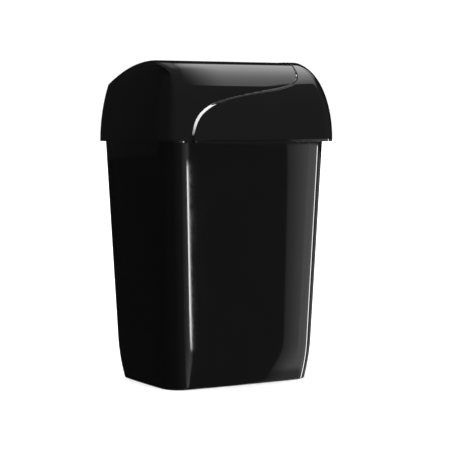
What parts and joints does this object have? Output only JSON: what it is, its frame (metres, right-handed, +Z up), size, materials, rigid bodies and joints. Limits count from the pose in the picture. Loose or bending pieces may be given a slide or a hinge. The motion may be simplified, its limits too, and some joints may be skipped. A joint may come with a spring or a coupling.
{
  "type": "waste bin",
  "caption": "Tapered container with a flat back, a domed overhanging hood hinged at its rear edge, a wave-edged front panel and a tip-up ring that holds the bag.",
  "frame": {"origin": "on the floor, below the middle of the bin's box", "axes": "+Z up, the front faces -Y, the flat back faces +Y, +X is to the right seen from the front"},
  "size_m": [0.434, 0.27, 0.66],
  "materials": {
    "gloss_black": "high-gloss moulded black plastic",
    "satin_black": "satin moulded black plastic",
    "grey_plastic": "satin moulded grey plastic",
    "black_rubber": "matt black rubber",
    "steel": "zinc-plated steel"
  },
  "bodies": {
    "bin": {"body_shell": "gloss_black", "foot_pad_front_left": "black_rubber", "foot_pad_front_right": "black_rubber", "foot_pad_back_left": "black_rubber", "foot_pad_back_right": "black_rubber", "rear_panel": "satin_black", "rear_panel_screw_1": "steel", "rear_panel_screw_2": "steel", "rear_panel_screw_3": "steel", "rear_panel_screw_4": "steel", "hinge_pin_left": "steel", "hinge_pin_right": "steel", "hinge_clip_left": "steel", "hinge_clip_right": "steel", "rim_buffer_front_left": "black_rubber", "rim_buffer_front_right": "black_rubber", "rim_buffer_side_left": "black_rubber", "rim_buffer_side_right": "black_rubber", "bag_ring_pin_left": "steel", "bag_ring_pin_right": "steel"},
    "ring": {"bag_ring": "grey_plastic"},
    "hood": {"hood_shell": "gloss_black", "hood_front_panel": "gloss_black", "front_panel_screw_1": "steel", "front_panel_screw_2": "steel", "front_panel_screw_3": "steel", "front_panel_screw_4": "steel"}
  },
  "joints": [
    {"name": "hood_hinge", "type": "hinge", "parent": "bin", "child": "hood", "pos_m": [0, 0.115, 0.6125], "axis": [-1, 0, 0], "range_deg": [0, 72]},
    {"name": "bag_ring_hinge", "type": "hinge", "parent": "bin", "child": "ring", "pos_m": [0, 0.126, 0.503], "axis": [-1, 0, 0], "range_deg": [0, 25]}
  ]
}
